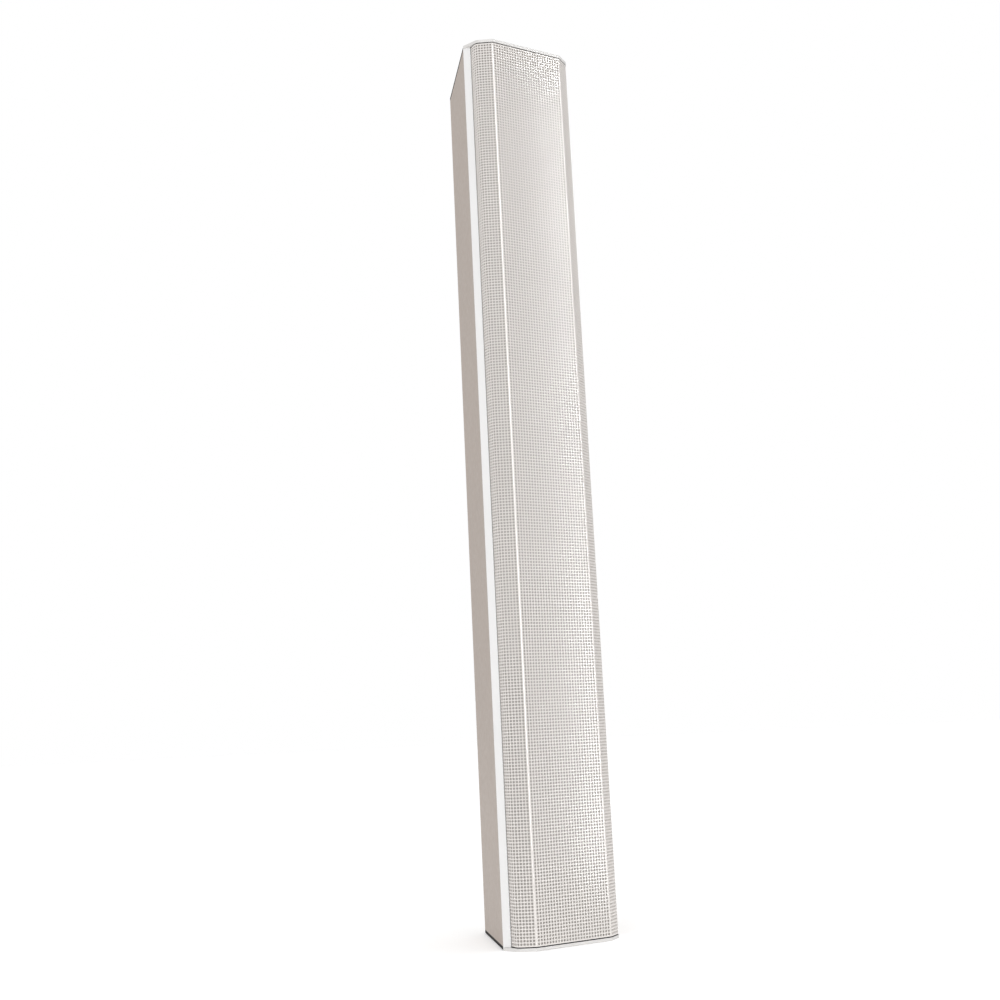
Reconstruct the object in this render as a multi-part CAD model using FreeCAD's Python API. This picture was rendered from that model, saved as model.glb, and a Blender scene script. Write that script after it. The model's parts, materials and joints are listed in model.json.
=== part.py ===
import FreeCAD, Part
import math
import os

from FreeCAD import Vector

# Column line array speaker: a tapered extruded enclosure with a bowed grille, eight full-range
# drivers in a vertical line, and a rear connection cover. Millimetres, +Z up, front towards -Y.
# Sections are drawn with y = 0 on the front face of the grille and y growing to the back. Every
# piece is moved by the same amount when it is saved, so that the origin is the middle of the base.

# Overall size
HEIGHT = 1200.0
MID_Z = HEIGHT / 2
END_STEP = 5.0                 # the enclosure's walls stop this far from each end
ENCLOSURE_Z = (END_STEP, HEIGHT - END_STEP)
BODY_DEPTH = 171.0             # grille front to the enclosure's back
BACK_HALF = 35.0               # half the width of the back, before its corners are rounded
BACK_RADIUS = 4.0
WALL = 2.5

# Side shoulder, where the front trim meets the tapered side
SHOULDER_X = 82.2
SHOULDER_Y = 31.7
TAPER = (SHOULDER_X - BACK_HALF) / (BODY_DEPTH - SHOULDER_Y)
TAPER_ANGLE = math.atan(TAPER)
SIDE_FRONT_Y = 34.0            # front edge of the enclosure's side walls

# Grille: a flat centre, two angled facets that roll into flanges along the trims
GRILLE_SHEET = 1.2
FOLD_X = 53.5
FACET_ANGLE = math.radians(32.2)
GRILLE_HALF = 74.1
ROLL_RADIUS = 10.0
FLANGE_END_Y = 36.0
GRILLE_STEP = 5.3              # the grille stops this far from each end, clear of the rims
GRILLE_Z = (GRILLE_STEP, HEIGHT - GRILLE_STEP)

# Where the rolls at the grille's edges are centred
ROLL_X = GRILLE_HALF - ROLL_RADIUS
ROLL_START_X = ROLL_X + ROLL_RADIUS * math.sin(FACET_ANGLE)
ROLL_Y = (ROLL_START_X - FOLD_X) * math.tan(FACET_ANGLE) + ROLL_RADIUS * math.cos(FACET_ANGLE)

# Cloth behind the grille
CLOTH_THICK = 0.5
CLOTH_GAP = 0.3
CLOTH_END_Y = 30.0
CLOTH_END_STEP = 1.5

# Front trims between the end rims
TRIM_X = 74.8                  # inner face of the trim, outside the grille's flange
TRIM_Y = 25.1
TRIM_TONGUE_Y = 40.0
SEAL_RECESS = 0.6
FIT_GAP = 0.1
RIM_HEIGHT = 4.0
RIM_PROUD = 0.8
RIM_THICK = 1.4
RIM_END_Y = 30.0
RIM_EDGE = 0.4                 # chamfer along the rim's outer edge

# End caps and their gaskets
CAP_FLANGE = 3.0
CAP_PLINTH = 1.0
CAP_THICK = CAP_FLANGE + CAP_PLINTH
PLINTH_INSET = 3.0
PLINTH_FRONT_Y = 8.0
CAP_RIB_THICK = 2.6            # rib between the rim and the end of the grille
CAP_RIB_TOP = GRILLE_STEP - FIT_GAP
GASKET_WIDTH = 7.0
GASKET_FRONT_BAR = 12.0
CAP_SCREW_BACK_Y = BODY_DEPTH - 8.0
CAP_SCREW_POINTS = [(68.0, 49.0), (-68.0, 49.0), (29.0, CAP_SCREW_BACK_Y), (-29.0, CAP_SCREW_BACK_Y)]
CAP_SCREW_HOLE = 1.8
CAP_SCREW_RADIUS = 1.6
CAP_SCREW_LENGTH = 18.0
CAP_SCREW_HEAD = (3.7, 2.1)    # radius and height of the countersunk head
SINK_CLEARANCE = 0.2           # the countersinks are this much wider than the heads
BOSS_RADIUS = 4.3
BOSS_WEB = 4.0
BOSS_HOLE = 1.75
PAD_RADIUS = BOSS_RADIUS + 1   # gasket around a boss

# Baffle and the ledges that carry it
LEDGE_Y = 42.0
LEDGE_THICK = 3.0
LEDGE_X = 56.0
BAFFLE_GASKET = 1.5
BAFFLE_THICK = 6.0
BAFFLE_BACK = LEDGE_Y - BAFFLE_GASKET
BAFFLE_FRONT = BAFFLE_BACK - BAFFLE_THICK
BAFFLE_HALF = 71.5
BAFFLE_Z = (6.0, HEIGHT - 6.0)
BAFFLE_SCREW_X = 61.0
BAFFLE_END_SCREW = 22.0
BAFFLE_GASKET_END = 16.0       # width of the gasket across each end

# Drivers, nominal 4 inch
DRIVER_COUNT = 8
DRIVER_PITCH = 140.0
DRIVER_Z = [MID_Z + (i - (DRIVER_COUNT - 1) / 2) * DRIVER_PITCH for i in range(DRIVER_COUNT)]
FRAME_RADIUS = 55.0
CUTOUT_RADIUS = 46.8
FLANGE_THICK = 2.0
DRIVER_SCREW_RADIUS = 50.9
DRIVER_SCREW_HOLE = 2.3

# Front screws, M4 x 12 pan head, used for the drivers and for the baffle
SCREW_RADIUS = 1.9
SCREW_HOLE = 2.0
SCREW_HEAD_RADIUS = 3.8
SCREW_HEAD = 2.4
SCREW_LENGTH = 12.0
SCREW_CROWN = 1.2              # round of the head's edge
SOCKET_FLATS = 2.5
SOCKET_DEPTH = 1.4

# Rear connection cover
COVER_Z = 150.0
COVER_SIZE = (60.0, 124.0)
COVER_THICK = 3.0
COVER_GASKET = 1.5
COVER_INNER = BODY_DEPTH + COVER_GASKET
COVER_OUTER = COVER_INNER + COVER_THICK
COVER_OPENING = (40.0, 100.0)
COVER_SCREWS = [(x, COVER_Z + z) for x in (-25.0, 25.0) for z in (-56.0, 56.0)]
COVER_SCREW_HOLE = 2.2
COVER_SCREW_RADIUS = 1.6
COVER_HEAD_RADIUS = 3.6
COVER_HEAD = 2.2
GLAND_Z = 119.0
GLAND_THREAD = 8.0             # M16
GLAND_BORE = 4.0
GLAND_HEX = 22.0
GLAND_COLLAR = 6.0
GLAND_DOME = 14.0
GLAND_OUTER = COVER_OUTER + GLAND_COLLAR + GLAND_DOME
TERMINAL_Z = 143.0
SELECTOR_Z = 178.0
BUSHING_RADIUS = 5.0
SHAFT_RADIUS = 3.0
SHAFT_CLEARANCE = 0.05
KNOB_RADIUS = 11.0
TICK_STEP = 30.0               # degrees between the selector's five positions

# Threaded inserts for a wall bracket, M6, two groups of four
INSERT_GROUPS = [300.0, 900.0]
INSERT_SPACING = (40.0, 60.0)
INSERT_BORE = 2.5
INSERT_BARREL = 4.5
INSERT_FLANGE = 6.5
INSERT_LENGTH = 13.0

# Line transformer, on the back wall behind the third driver
TRANSFORMER_Z = 400.0
CORE = (42.0, 30.0, 42.0)
CORE_BACK_Y = BODY_DEPTH - 10.0
WINDING_OUT = 7.0              # how far the bobbin stands out of the laminations
WINDING_FRONT = CORE_BACK_Y - CORE[1] - WINDING_OUT

# Wadding, above the transformer and clear of the drivers' magnets
WOOL_Y = (98.0, BODY_DEPTH - 18.0)
WOOL_Z = (460.0, 1180.0)
WOOL_GAP = 1.5                 # to the side walls

WIRE_RADIUS = 1.1
LUG_END_X = 43.0               # outer end of the drivers' solder lugs
TRUNK_X = 54.0
TRUNK_Y = BAFFLE_FRONT + 22.0

# The box runs from the rims' front to the gland's end, and the origin is in its middle
SHIFT = Vector(0, -(GLAND_OUTER - RIM_PROUD) / 2, 0)
UP = Vector(0, 0, 1)
BACKWARD = Vector(0, 1, 0)


def side_x(y, inset=0.0):
    """Half the width at depth y, measured to a line parallel to the side, inset from it."""
    return SHOULDER_X - (y - SHOULDER_Y) * TAPER - inset / math.cos(TAPER_ANGLE)


def polygon(points):
    """A flat face in the XY plane with straight edges."""
    corners = [Vector(x, y, 0) for x, y in points]
    return Part.Face(Part.makePolygon(corners + corners[:1]))


def column(face, z_range):
    """The face carried straight up between two heights."""
    low, high = z_range
    return face.translated(Vector(0, 0, low)).extrude(Vector(0, 0, high - low))


def mirrored(shape):
    """The piece for the other side of the speaker."""
    return shape.mirror(Vector(0, 0, 0), Vector(1, 0, 0))


def upended(shape):
    """The same piece at the other end of the column."""
    return shape.mirror(Vector(0, 0, MID_Z), UP)


def block(x_range, y_range, z_range):
    size = [high - low for low, high in (x_range, y_range, z_range)]
    return Part.makeBox(*size, Vector(x_range[0], y_range[0], z_range[0]))


def rod(radius, start, end):
    """A round bar between two points."""
    along = end - start
    return Part.makeCylinder(radius, along.Length, start, along)


def through_y(radius, x, z, y_range):
    return rod(radius, Vector(x, y_range[0], z), Vector(x, y_range[1], z))


def tube_y(outer, inner, x, z, y_range):
    return through_y(outer, x, z, y_range).cut(through_y(inner, x, z, y_range))


def turned(profile, z, y_zero=0.0):
    """A closed (radius, y) outline turned about the Y axis at height z."""
    corners = [Vector(radius, y + y_zero, z) for radius, y in profile]
    face = Part.Face(Part.makePolygon(corners + corners[:1]))
    return face.revolve(Vector(0, 0, z), BACKWARD, 360)


def hexagon_y(across_flats, x, z, y_range):
    """A hexagonal bar along Y."""
    radius = across_flats / math.sqrt(3)
    corners = [
        Vector(x + radius * math.cos(math.radians(60 * k)), y_range[0],
               z + radius * math.sin(math.radians(60 * k)))
        for k in range(6)
    ]
    face = Part.Face(Part.makePolygon(corners + corners[:1]))
    return face.extrude(Vector(0, y_range[1] - y_range[0], 0))


def cut_all(shape, tools):
    return shape.cut(Part.Compound(list(tools)))


def bow_path(offset, end_y):
    """Edges along the bowed front, offset outwards, from the left flange to the right one."""
    fold = FOLD_X + offset * math.tan(FACET_ANGLE / 2)
    roll = ROLL_RADIUS + offset
    half_turn = (math.pi / 2 - FACET_ANGLE) / 2

    def on_roll(angle):
        return (ROLL_X + roll * math.cos(angle), ROLL_Y - roll * math.sin(angle))

    def at(sign, point):
        return Vector(sign * point[0], point[1], 0)

    facet_end = on_roll(math.pi / 2 - FACET_ANGLE)
    middle = on_roll(half_turn)
    roll_end = on_roll(0)
    edges = [Part.LineSegment(Vector(-fold, -offset, 0), Vector(fold, -offset, 0)).toShape()]
    for sign in (-1, 1):
        edges += [
            Part.LineSegment(Vector(sign * fold, -offset, 0), at(sign, facet_end)).toShape(),
            Part.Arc(at(sign, facet_end), at(sign, middle), at(sign, roll_end)).toShape(),
            Part.LineSegment(at(sign, roll_end), at(sign, (roll_end[0], end_y))).toShape(),
        ]
    return edges, roll_end[0]


def bow_face(outer, inner, end_y):
    """The strip between two offsets of the bowed front."""
    outer_edges, outer_x = bow_path(outer, end_y)
    inner_edges, inner_x = bow_path(inner, end_y)
    ends = [
        Part.LineSegment(Vector(s * outer_x, end_y, 0), Vector(s * inner_x, end_y, 0)).toShape()
        for s in (-1, 1)
    ]
    edges = Part.sortEdges(outer_edges + inner_edges + ends)[0]
    return Part.Face(Part.Wire(edges))


def bow_area(offset, end_y):
    """Everything behind one offset of the bowed front, as far back as end_y."""
    edges, half = bow_path(offset, end_y)
    back = Part.LineSegment(Vector(-half, end_y, 0), Vector(half, end_y, 0)).toShape()
    return Part.Face(Part.Wire(Part.sortEdges(edges + [back])[0]))


def body_outline(inset, front_y):
    """The tapered outline of the enclosure, inset from its sides and back."""
    back_y = BODY_DEPTH - inset
    return polygon([
        (side_x(front_y, inset), front_y), (side_x(back_y, inset), back_y),
        (-side_x(back_y, inset), back_y), (-side_x(front_y, inset), front_y),
    ])


def rounded_back(solid):
    """Rounds the two vertical back corners of a column with the enclosure's outline."""
    corners = [
        edge for edge in solid.Edges
        if edge.BoundBox.YMin > BODY_DEPTH - 0.01 and edge.BoundBox.XLength < 0.01
    ]
    return solid.makeFillet(BACK_RADIUS, corners)


def insert_points():
    """Every threaded insert's (x, z) on the back."""
    across, tall = INSERT_SPACING
    return [
        (x * across / 2, z + dz * tall / 2)
        for z in INSERT_GROUPS for x in (-1, 1) for dz in (-1, 1)
    ]


def baffle_screw_points():
    """Pairs of screws between the drivers and near both ends of the baffle."""
    between = [(low + high) / 2 for low, high in zip(DRIVER_Z, DRIVER_Z[1:])]
    rows = [BAFFLE_END_SCREW] + between + [HEIGHT - BAFFLE_END_SCREW]
    return [(x, z) for z in rows for x in (-BAFFLE_SCREW_X, BAFFLE_SCREW_X)]


def driver_screw_points(z):
    reach = DRIVER_SCREW_RADIUS * math.sqrt(0.5)
    return [(sx * reach, z + sz * reach) for sx in (-1, 1) for sz in (-1, 1)]


# Enclosure, trims, rims and ends

def enclosure_extrusion():
    shell = column(body_outline(0.0, SIDE_FRONT_Y), ENCLOSURE_Z)
    shell = rounded_back(shell)
    ledge_back = LEDGE_Y + LEDGE_THICK
    shell = shell.cut(column(body_outline(WALL, ledge_back), ENCLOSURE_Z))
    front = polygon([
        (side_x(SIDE_FRONT_Y, WALL), SIDE_FRONT_Y), (side_x(LEDGE_Y, WALL), LEDGE_Y),
        (-side_x(LEDGE_Y, WALL), LEDGE_Y), (-side_x(SIDE_FRONT_Y, WALL), SIDE_FRONT_Y),
    ])
    shell = shell.cut(column(front, ENCLOSURE_Z))
    mouth = block((-LEDGE_X, LEDGE_X), (LEDGE_Y - 1, ledge_back + 1), ENCLOSURE_Z)
    shell = shell.cut(mouth)
    low, high = ENCLOSURE_Z
    bosses = [rod(BOSS_RADIUS, Vector(x, y, low), Vector(x, y, high)) for x, y in CAP_SCREW_POINTS]
    for x, y in CAP_SCREW_POINTS:
        if y > LEDGE_Y + 2 * BOSS_RADIUS:
            web = (x - BOSS_WEB / 2, x + BOSS_WEB / 2)
            bosses.append(block(web, (y, BODY_DEPTH - WALL / 2), ENCLOSURE_Z))
    shell = shell.fuse(bosses).removeSplitter()
    holes = [rod(BOSS_HOLE, Vector(x, y, low), Vector(x, y, high)) for x, y in CAP_SCREW_POINTS]
    wide, tall = COVER_OPENING
    wall = (BODY_DEPTH - WALL - 1, BODY_DEPTH + 1)
    holes.append(block((-wide / 2, wide / 2), wall, (COVER_Z - tall / 2, COVER_Z + tall / 2)))
    holes += [through_y(BOSS_HOLE, x, z, wall) for x, z in COVER_SCREWS]
    holes += [through_y(INSERT_BARREL + FIT_GAP, x, z, wall) for x, z in insert_points()]
    ledge = (LEDGE_Y - 1, ledge_back + 1)
    holes += [through_y(SCREW_HOLE, x, z, ledge) for x, z in baffle_screw_points()]
    return cut_all(shell, holes)


def front_trim_right():
    """The bright strip beside the grille, with a tongue that reaches inside the side wall."""
    strip = polygon([
        (TRIM_X, TRIM_Y), (SHOULDER_X, SHOULDER_Y),
        (side_x(SIDE_FRONT_Y), SIDE_FRONT_Y), (TRIM_X, SIDE_FRONT_Y),
    ])
    tongue = polygon([
        (TRIM_X, SIDE_FRONT_Y), (side_x(SIDE_FRONT_Y, WALL + FIT_GAP), SIDE_FRONT_Y),
        (side_x(TRIM_TONGUE_Y, WALL + FIT_GAP), TRIM_TONGUE_Y), (TRIM_X, TRIM_TONGUE_Y),
    ])
    end_z = RIM_HEIGHT + FIT_GAP
    whole = column(strip, (end_z, HEIGHT - end_z))
    return whole.fuse(column(tongue, ENCLOSURE_Z)).removeSplitter()


def rim_sweep():
    """Where the line from the shoulder to the rim's roll touches the roll."""
    across, deep = SHOULDER_X - ROLL_X, SHOULDER_Y - ROLL_Y
    roll = ROLL_RADIUS + RIM_PROUD
    reach = math.hypot(across, deep)
    angle = math.atan2(deep, across) - math.acos(roll / reach)
    return ROLL_X + roll * math.cos(angle), ROLL_Y + roll * math.sin(angle)


def bottom_rim_trim():
    """The bowed bar across the grille's end, swept out to the shoulders over the trims' ends."""
    sweep_x, sweep_y = rim_sweep()
    z_range = (0.0, RIM_HEIGHT)
    inner_x = GRILLE_HALF + RIM_PROUD - RIM_THICK
    end_block = column(polygon([
        (sweep_x, sweep_y), (SHOULDER_X, SHOULDER_Y), (side_x(SIDE_FRONT_Y), SIDE_FRONT_Y),
        (inner_x, SIDE_FRONT_Y), (inner_x, sweep_y),
    ]), z_range)
    bar = column(bow_face(RIM_PROUD, RIM_PROUD - RIM_THICK, RIM_END_Y), z_range)
    bar = bar.fuse([end_block, mirrored(end_block)]).removeSplitter()
    front = [
        e for e in bar.Edges
        if e.BoundBox.ZMax < 0.01 and abs(e.BoundBox.YMin + RIM_PROUD) < 0.01
        and e.BoundBox.YLength < 0.01
    ]
    return bar.makeChamfer(RIM_EDGE, front)


def cap_screw(x, y):
    """Countersunk screw, driven upwards, with a hexagon socket."""
    head_radius, head_height = CAP_SCREW_HEAD
    start, socket_radius, socket_depth = 0.1, 1.45, 1.5
    head = Part.makeCone(head_radius, CAP_SCREW_RADIUS, head_height, Vector(x, y, start), UP)
    neck = Vector(x, y, start + head_height)
    shank = rod(CAP_SCREW_RADIUS, neck, Vector(x, y, CAP_SCREW_LENGTH))
    angles = [math.radians(60 * k) for k in range(6)]
    socket = column(polygon([
        (x + socket_radius * math.cos(a), y + socket_radius * math.sin(a)) for a in angles
    ]), (0.0, socket_depth))
    return head.fuse(shank).cut(socket)


def bottom_end_cap():
    """Black moulded cap: a flange under the walls, a rib behind the rim, and a plinth."""
    flange = body_outline(0.0, SIDE_FRONT_Y)
    flange = rounded_back(column(flange, (CAP_PLINTH, CAP_THICK)))
    nose_offset = RIM_PROUD - RIM_THICK - FIT_GAP
    nose = column(bow_area(nose_offset, SIDE_FRONT_Y), (CAP_PLINTH, CAP_THICK))
    rib = bow_face(nose_offset, nose_offset - CAP_RIB_THICK, RIM_END_Y)
    rib = column(rib, (CAP_PLINTH, CAP_RIB_TOP))
    plinth = column(body_outline(PLINTH_INSET, SIDE_FRONT_Y), (0.0, CAP_PLINTH))
    toe = block((-FOLD_X, FOLD_X), (PLINTH_FRONT_Y, SIDE_FRONT_Y), (0.0, CAP_PLINTH))
    cap = flange.fuse([nose, rib, plinth, toe]).removeSplitter()
    holes = []
    head_radius, head_height = CAP_SCREW_HEAD
    for x, y in CAP_SCREW_POINTS:
        sink = head_radius + SINK_CLEARANCE
        holes.append(Part.makeCone(sink, CAP_SCREW_HOLE, head_height, Vector(x, y, 0), UP))
        holes.append(rod(CAP_SCREW_HOLE, Vector(x, y, 0), Vector(x, y, CAP_THICK)))
    return cut_all(cap, holes)


def bottom_gasket():
    """Flat rubber between the cap and the end of the walls."""
    inner_front = SIDE_FRONT_Y + GASKET_FRONT_BAR
    z_range = (CAP_THICK, END_STEP)
    ring = rounded_back(column(body_outline(0.0, SIDE_FRONT_Y), z_range))
    ring = ring.cut(column(body_outline(GASKET_WIDTH, inner_front), z_range))
    for x, y in CAP_SCREW_POINTS:
        pad = rod(PAD_RADIUS, Vector(x, y, CAP_THICK), Vector(x, y, END_STEP))
        ring = ring.fuse(pad)
    ring = ring.removeSplitter()
    ring = ring.common(column(body_outline(0.0, SIDE_FRONT_Y), z_range))
    low, high = z_range
    holes = [
        rod(CAP_SCREW_HOLE, Vector(x, y, low), Vector(x, y, high)) for x, y in CAP_SCREW_POINTS
    ]
    return cut_all(ring, holes)


# Grille, cloth and seals

def front_grille():
    """The bent grille sheet. Its perforation is finer than the model needs for fit and mass."""
    return column(bow_face(0.0, -GRILLE_SHEET, FLANGE_END_Y), GRILLE_Z)


def grille_cloth():
    """Acoustic cloth stretched behind the grille."""
    depth = -GRILLE_SHEET - CLOTH_GAP
    low, high = GRILLE_Z
    z_range = (low + CLOTH_END_STEP, high - CLOTH_END_STEP)
    return column(bow_face(depth, depth - CLOTH_THICK, CLOTH_END_Y), z_range)


def grille_edge_seals():
    """Soft strips between the grille's flanges and the trims, one at each side."""
    right = block((GRILLE_HALF, TRIM_X), (TRIM_Y + SEAL_RECESS, FLANGE_END_Y), GRILLE_Z)
    return [right, mirrored(right)]


# Baffle

def baffle():
    board = block((-BAFFLE_HALF, BAFFLE_HALF), (BAFFLE_FRONT, BAFFLE_BACK), BAFFLE_Z)
    depth = (BAFFLE_FRONT - 1, BAFFLE_BACK + 1)
    holes = [through_y(CUTOUT_RADIUS, 0, z, depth) for z in DRIVER_Z]
    holes += [through_y(SCREW_HOLE, x, z, depth) for x, z in baffle_screw_points()]
    for z in DRIVER_Z:
        holes += [through_y(SCREW_HOLE, x, dz, depth) for x, dz in driver_screw_points(z)]
    return cut_all(board, holes)


def baffle_gasket():
    depth = (BAFFLE_BACK, LEDGE_Y)
    low, high = BAFFLE_Z
    ring = block((-BAFFLE_HALF, BAFFLE_HALF), depth, BAFFLE_Z)
    holes = [block((-LEDGE_X, LEDGE_X), depth, (low + BAFFLE_GASKET_END, high - BAFFLE_GASKET_END))]
    holes += [through_y(SCREW_HOLE, x, z, depth) for x, z in baffle_screw_points()]
    return cut_all(ring, holes)


def pan_screw(x, z, seat_y):
    """M4 screw along +Y whose head sits on the plane seat_y."""
    head = through_y(SCREW_HEAD_RADIUS, x, z, (seat_y - SCREW_HEAD, seat_y))
    rim = [e for e in head.Edges if e.BoundBox.YMax < seat_y - SCREW_HEAD + 0.01]
    head = head.makeFillet(SCREW_CROWN, rim)
    shank = through_y(SCREW_RADIUS, x, z, (seat_y, seat_y + SCREW_LENGTH))
    top_y = seat_y - SCREW_HEAD
    socket = hexagon_y(SOCKET_FLATS, x, z, (top_y, top_y + SOCKET_DEPTH))
    return head.fuse(shank).cut(socket)


def front_screws():
    """The same screw holds the drivers to the baffle and the baffle to the ledges."""
    screws = [pan_screw(x, z, BAFFLE_FRONT) for x, z in baffle_screw_points()]
    for z in DRIVER_Z:
        screws += [
            pan_screw(x, dz, BAFFLE_FRONT - FLANGE_THICK) for x, dz in driver_screw_points(z)
        ]
    return screws


# Drivers. Each outline is (radius, y), with y = 0 on the front of the baffle.

def driver_basket(z):
    """Pressed steel frame with four windows and a solder lug at each side."""
    profile = [
        (44.0, -FLANGE_THICK), (FRAME_RADIUS, -FLANGE_THICK), (FRAME_RADIUS, 0.0), (46.2, 0.0),
        (31.5, 25.6), (31.5, 28.0), (14.0, 28.0), (14.0, 26.5), (30.2, 26.5), (35.0, 17.6),
        (30.0, 17.6), (30.0, 16.2), (35.6, 16.2), (44.0, 1.4),
    ]
    frame = turned(profile, z, BAFFLE_FRONT)
    window = block((28.0, 60.0), (BAFFLE_FRONT + 3.5, BAFFLE_FRONT + 13.5), (-15.0, 15.0))
    cuts = []
    for angle in (45, 135, 225, 315):
        opening = window.rotated(Vector(0, 0, 0), BACKWARD, angle)
        cuts.append(opening.translated(Vector(0, 0, z)))
    depth = (BAFFLE_FRONT - 5, BAFFLE_FRONT + 1)
    cuts += [through_y(DRIVER_SCREW_HOLE, x, dz, depth) for x, dz in driver_screw_points(z)]
    frame = cut_all(frame, cuts)
    lug = block((31.0, LUG_END_X), (TRUNK_Y - 0.4, TRUNK_Y + 0.4), (z - 3, z + 3))
    return frame.fuse([lug, mirrored(lug)])


def driver_motor(z):
    """Top plate, ferrite ring, and the back plate with its pole."""
    top_plate = turned([(13.0, 28.0), (35.0, 28.0), (35.0, 33.0), (13.0, 33.0)], z, BAFFLE_FRONT)
    ferrite = turned(
        [(17.0, 33.0), (37.0, 33.0), (38.0, 34.0), (38.0, 44.0), (37.0, 45.0), (17.0, 45.0)],
        z, BAFFLE_FRONT)
    yoke = turned(
        [(3.0, 27.0), (10.8, 27.0), (10.8, 45.0), (35.0, 45.0), (35.0, 48.5), (33.5, 50.0),
         (3.0, 50.0)],
        z, BAFFLE_FRONT)
    return [top_plate, ferrite, yoke]


def driver_cone(z):
    """Paper cone with a flat rim, dust cap, and the voice coil on its former."""
    cone = turned(
        [(36.0, -2.0), (38.2, -2.0), (38.2, -1.2), (36.6, -1.2), (12.0, 11.6), (12.0, 10.6),
         (35.4, -1.6)],
        z, BAFFLE_FRONT)
    former = turned([(11.6, 9.0), (12.0, 9.0), (12.0, 37.0), (11.6, 37.0)], z, BAFFLE_FRONT)
    coil = turned([(12.0, 26.5), (12.4, 26.5), (12.4, 36.0), (12.0, 36.0)], z, BAFFLE_FRONT)
    dome_height = 4.6
    dome_half = 14.0
    sphere = (dome_half ** 2 + dome_height ** 2) / (2 * dome_height)
    seat_y = BAFFLE_FRONT + 9.3
    centre = Vector(0, seat_y - dome_height + sphere, z)
    ball = Part.makeSphere(sphere, centre)
    hollow = Part.makeSphere(sphere - 0.5, centre)
    cap = ball.cut(hollow).common(
        block((-dome_half, dome_half), (seat_y - dome_height - 1, seat_y), (z - 15, z + 15)))
    return [cone, former, coil, cap]


def driver_suspension(z):
    """Half-roll rubber surround and the corrugated spider behind the cone."""
    roll_at = 41.2
    outer, inner = 3.1, 2.5
    seat = BAFFLE_FRONT - FLANGE_THICK

    def half_circle(radius):
        return Part.Arc(
            Vector(roll_at - radius, seat, z), Vector(roll_at, seat - radius, z),
            Vector(roll_at + radius, seat, z)).toShape()

    ends = [
        Part.LineSegment(Vector(roll_at + s * inner, seat, z),
                         Vector(roll_at + s * outer, seat, z)).toShape()
        for s in (-1, 1)
    ]
    ring = Part.Face(Part.Wire(Part.sortEdges([half_circle(outer), half_circle(inner)] + ends)[0]))
    roll = ring.revolve(Vector(0, 0, z), BACKWARD, 360)
    lip = outer - inner
    inside = turned([(36.0, -lip), (38.7, -lip), (38.7, 0.0), (36.0, 0.0)], z, seat)
    outside = turned([(43.7, -lip), (47.0, -lip), (47.0, 0.0), (43.7, 0.0)], z, seat)
    surround = roll.fuse([inside, outside]).removeSplitter()
    start, end, waves = 12.0, 31.0, 4
    steps = waves * 4
    thick = 0.5

    def wave(k):
        return 15.6 + 1.1 * math.sin(2 * math.pi * waves * k / steps)

    front = [(start + (end - start) * k / steps, wave(k)) for k in range(steps + 1)]
    outline = front + [(34.6, 15.6), (34.6, 16.1)] + [(r, y + thick) for r, y in reversed(front)]
    spider = turned(outline, z, BAFFLE_FRONT)
    return [surround, spider]


# Inside: transformer, wadding and wiring

def transformer_window():
    """The space inside the laminations, on one side of the centre leg."""
    wide, deep, tall = CORE
    return block((wide / 6, wide / 3), (CORE_BACK_Y - deep - 1, CORE_BACK_Y + 1),
                 (TRANSFORMER_Z - tall / 3, TRANSFORMER_Z + tall / 3))


def transformer_core():
    wide, deep, tall = CORE
    stack = block((-wide / 2, wide / 2), (CORE_BACK_Y - deep, CORE_BACK_Y),
                  (TRANSFORMER_Z - tall / 2, TRANSFORMER_Z + tall / 2))
    window = transformer_window()
    return stack.cut(window).cut(mirrored(window))


def transformer_winding():
    """The wound bobbin around the centre leg."""
    wide, deep, tall = CORE
    gap = 0.2
    z_range = (TRANSFORMER_Z - tall / 3 + gap, TRANSFORMER_Z + tall / 3 - gap)
    y_range = (WINDING_FRONT, CORE_BACK_Y + WINDING_OUT - 1)
    bulk = block((-wide / 3 + gap, wide / 3 - gap), y_range, z_range)
    leg = block((-wide / 6 - gap, wide / 6 + gap),
                (CORE_BACK_Y - deep - gap, CORE_BACK_Y + gap), z_range)
    upright = [e for e in bulk.Edges if e.BoundBox.ZLength > tall / 3]
    return bulk.makeFillet(2.0, upright).cut(leg)


def transformer_frame():
    """Steel straps over the laminations' ends, each with a foot riveted to the back wall."""
    _, deep, tall = CORE
    sheet, half_wide, lip, foot = 1.2, 9.0, 6.0, 11.0
    across = (-half_wide, half_wide)
    wall_y = BODY_DEPTH - WALL
    front_y = CORE_BACK_Y - deep
    end_z = TRANSFORMER_Z + tall / 2
    strap = block(across, (front_y - sheet, wall_y), (end_z, end_z + sheet))
    strap = strap.fuse([
        block(across, (front_y - sheet, front_y), (end_z - lip, end_z)),
        block(across, (wall_y - sheet, wall_y), (end_z, end_z + foot)),
    ]).removeSplitter()
    return [strap, strap.mirror(Vector(0, 0, TRANSFORMER_Z), UP)]


def damping_wool():
    """A block of wadding behind the upper drivers."""
    front_y, back_y = WOOL_Y
    inset = WALL + WOOL_GAP
    outline = polygon([
        (side_x(front_y, inset), front_y), (side_x(back_y, inset), back_y),
        (-side_x(back_y, inset), back_y), (-side_x(front_y, inset), front_y),
    ])
    return column(outline, WOOL_Z)


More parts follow.
